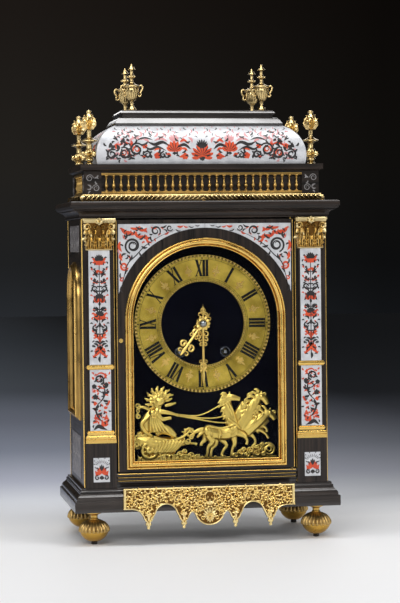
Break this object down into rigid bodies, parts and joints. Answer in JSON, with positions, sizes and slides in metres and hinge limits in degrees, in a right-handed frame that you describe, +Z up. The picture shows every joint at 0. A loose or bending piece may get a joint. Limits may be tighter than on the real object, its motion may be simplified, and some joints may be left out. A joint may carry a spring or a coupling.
{
  "type": "religieuse clock",
  "caption": "Table clock in an ebony case with arched glazed door, pilasters, marquetry, balustrade, cushion dome, gilt finials and a striking spring movement.",
  "frame": {"origin": "centre of the clock's footprint on the floor it stands on", "axes": "+X to the viewer's right, +Y to the back, +Z up; the dial faces -Y"},
  "size_m": [0.3272, 0.184, 0.58],
  "materials": {
    "ebony": "polished ebony veneer",
    "gilt_bronze": "chased and gilt",
    "pewter_marquetry": "pewter ground inlaid with red and black",
    "dome_marquetry": "pewter ground inlaid with red and black",
    "clear_glass": "clear",
    "velvet": "velvet covered",
    "dial_brass": "matted gilt, engraved",
    "bell_metal": "turned",
    "movement_brass": "satin",
    "steel": "filed bright"
  },
  "bodies": {
    "case": {"base_plinth": "ebony", "feet": "gilt_bronze", "base_apron": "gilt_bronze", "side_boards": "ebony", "side_window_frames": "gilt_bronze", "side_window_panes": "clear_glass", "side_panels": "pewter_marquetry", "back_frame": "ebony", "pilasters": "ebony", "pilaster_panels": "pewter_marquetry", "pilaster_mouldings": "gilt_bronze", "capitals": "gilt_bronze", "door_sill": "ebony", "door_pivots": "steel", "cornice": "ebony", "leaf_moulding": "gilt_bronze", "attic": "ebony", "balustrades": "gilt_bronze", "dome": "dome_marquetry", "dome_cap": "ebony", "vase_finials": "gilt_bronze", "bud_finials": "gilt_bronze", "dial_plate": "velvet", "chapter_ring": "dial_brass", "chariot_group": "gilt_bronze", "front_plate": "movement_brass", "back_plate": "movement_brass", "plate_pillars": "movement_brass", "movement_cocks": "movement_brass", "bell": "bell_metal"},
    "front_door": {"door_frame": "ebony", "door_bezel": "gilt_bronze", "door_glass": "clear_glass", "spandrel_panels": "pewter_marquetry", "door_lock": "steel"},
    "rear_door": {"back_door": "ebony", "back_door_knob": "gilt_bronze"},
    "minute_work": {"cannon_pinion": "movement_brass", "minute_hand": "gilt_bronze"},
    "motion_wheel": {"minute_wheel": "movement_brass"},
    "hour_work": {"hour_wheel": "movement_brass", "hour_hand": "gilt_bronze"},
    "going_drum": {"going_barrel": "movement_brass", "going_mainspring": "steel"},
    "going_winder": {"going_winding_arbor": "steel"},
    "second_work": {"second_wheel": "movement_brass"},
    "centre_work": {"centre_wheel": "movement_brass"},
    "contrate_work": {"contrate_wheel": "movement_brass"},
    "crown_work": {"crown_wheel": "movement_brass"},
    "verge_work": {"verge": "steel"},
    "pendulum": {"pendulum_rod": "steel", "pendulum_bob": "movement_brass"},
    "strike_drum": {"strike_barrel": "movement_brass", "strike_mainspring": "steel"},
    "strike_winder": {"strike_winding_arbor": "steel"},
    "pin_work": {"pin_wheel": "movement_brass"},
    "hoop_work": {"hoop_wheel": "movement_brass"},
    "fly_work": {"fly": "movement_brass"},
    "count_work": {"count_wheel": "movement_brass"},
    "hammer_work": {"hammer": "steel"}
  },
  "joints": [
    {"name": "front_door_hinge", "type": "hinge", "parent": "case", "child": "front_door", "pos_m": [0.1054, -0.0746, 0.238], "axis": [0, 0, 1], "range_deg": [0, 90]},
    {"name": "rear_door_hinge", "type": "hinge", "parent": "case", "child": "rear_door", "pos_m": [-0.1112, 0.0746, 0.23], "axis": [0, 0, 1], "range_deg": [0, 100]},
    {"name": "minute_turn", "type": "hinge", "parent": "case", "child": "minute_work", "pos_m": [0, -0.05, 0.2632], "axis": [0, 1, 0], "continuous": true},
    {"name": "motion_wheel_turn", "type": "hinge", "parent": "case", "child": "motion_wheel", "pos_m": [0.0144, -0.042, 0.2632], "axis": [0, 1, 0], "continuous": true},
    {"name": "hour_turn", "type": "hinge", "parent": "case", "child": "hour_work", "pos_m": [0, -0.05, 0.2632], "axis": [0, 1, 0], "continuous": true},
    {"name": "going_drum_turn", "type": "hinge", "parent": "case", "child": "going_drum", "pos_m": [0.028, 0, 0.2282], "axis": [0, 1, 0], "continuous": true},
    {"name": "going_winder_turn", "type": "hinge", "parent": "case", "child": "going_winder", "pos_m": [0.028, -0.04, 0.2282], "axis": [0, 1, 0], "range_deg": [0, 1440]},
    {"name": "second_turn", "type": "hinge", "parent": "case", "child": "second_work", "pos_m": [0.0174, 0, 0.2541], "axis": [0, 1, 0], "continuous": true},
    {"name": "centre_turn", "type": "hinge", "parent": "case", "child": "centre_work", "pos_m": [0, 0, 0.2632], "axis": [0, 1, 0], "continuous": true},
    {"name": "contrate_turn", "type": "hinge", "parent": "case", "child": "contrate_work", "pos_m": [0, 0, 0.2818], "axis": [0, 1, 0], "continuous": true},
    {"name": "crown_turn", "type": "hinge", "parent": "case", "child": "crown_work", "pos_m": [0, -0.0066, 0.3], "axis": [0, 0, 1], "continuous": true},
    {"name": "verge_swing", "type": "hinge", "parent": "case", "child": "verge_work", "pos_m": [0, 0, 0.3203], "axis": [0, 1, 0], "range_deg": [-8, 8]},
    {"name": "pendulum_swing", "type": "hinge", "parent": "case", "child": "pendulum", "pos_m": [0, 0.0373, 0.3203], "axis": [0, 1, 0], "range_deg": [-8, 8]},
    {"name": "strike_drum_turn", "type": "hinge", "parent": "case", "child": "strike_drum", "pos_m": [-0.028, 0, 0.2282], "axis": [0, 1, 0], "continuous": true},
    {"name": "strike_winder_turn", "type": "hinge", "parent": "case", "child": "strike_winder", "pos_m": [-0.028, -0.04, 0.2282], "axis": [0, 1, 0], "range_deg": [0, 1440]},
    {"name": "pin_turn", "type": "hinge", "parent": "case", "child": "pin_work", "pos_m": [-0.042, 0, 0.2524], "axis": [0, 1, 0], "continuous": true},
    {"name": "hoop_turn", "type": "hinge", "parent": "case", "child": "hoop_work", "pos_m": [-0.037, 0, 0.2714], "axis": [0, 1, 0], "continuous": true},
    {"name": "fly_turn", "type": "hinge", "parent": "case", "child": "fly_work", "pos_m": [-0.033, 0, 0.2877], "axis": [0, 1, 0], "continuous": true},
    {"name": "count_turn", "type": "hinge", "parent": "case", "child": "count_work", "pos_m": [-0.028, 0.025, 0.2282], "axis": [0, 1, 0], "continuous": true},
    {"name": "hammer_swing", "type": "hinge", "parent": "case", "child": "hammer_work", "pos_m": [-0.045, 0, 0.3032], "axis": [0, 1, 0], "range_deg": [0, 10], "stiffness_Nm_per_rad": 0.02, "springref_deg": -8.59}
  ],
  "couplings": [
    {"joint": "motion_wheel_turn", "follows": "minute_turn", "ratio": -0.33333},
    {"joint": "hour_turn", "follows": "minute_turn", "ratio": 0.083333},
    {"joint": "crown_turn", "follows": "contrate_turn", "ratio": -5},
    {"joint": "centre_turn", "follows": "contrate_turn", "ratio": -0.14815},
    {"joint": "second_turn", "follows": "contrate_turn", "ratio": 0.024691},
    {"joint": "going_drum_turn", "follows": "contrate_turn", "ratio": -0.0041152},
    {"joint": "verge_swing", "follows": "pendulum_swing", "ratio": 1},
    {"joint": "pin_turn", "follows": "hoop_turn", "ratio": -0.16667},
    {"joint": "strike_drum_turn", "follows": "hoop_turn", "ratio": 0.027778},
    {"joint": "count_turn", "follows": "hoop_turn", "ratio": 0.018519},
    {"joint": "fly_turn", "follows": "hoop_turn", "ratio": -6}
  ]
}
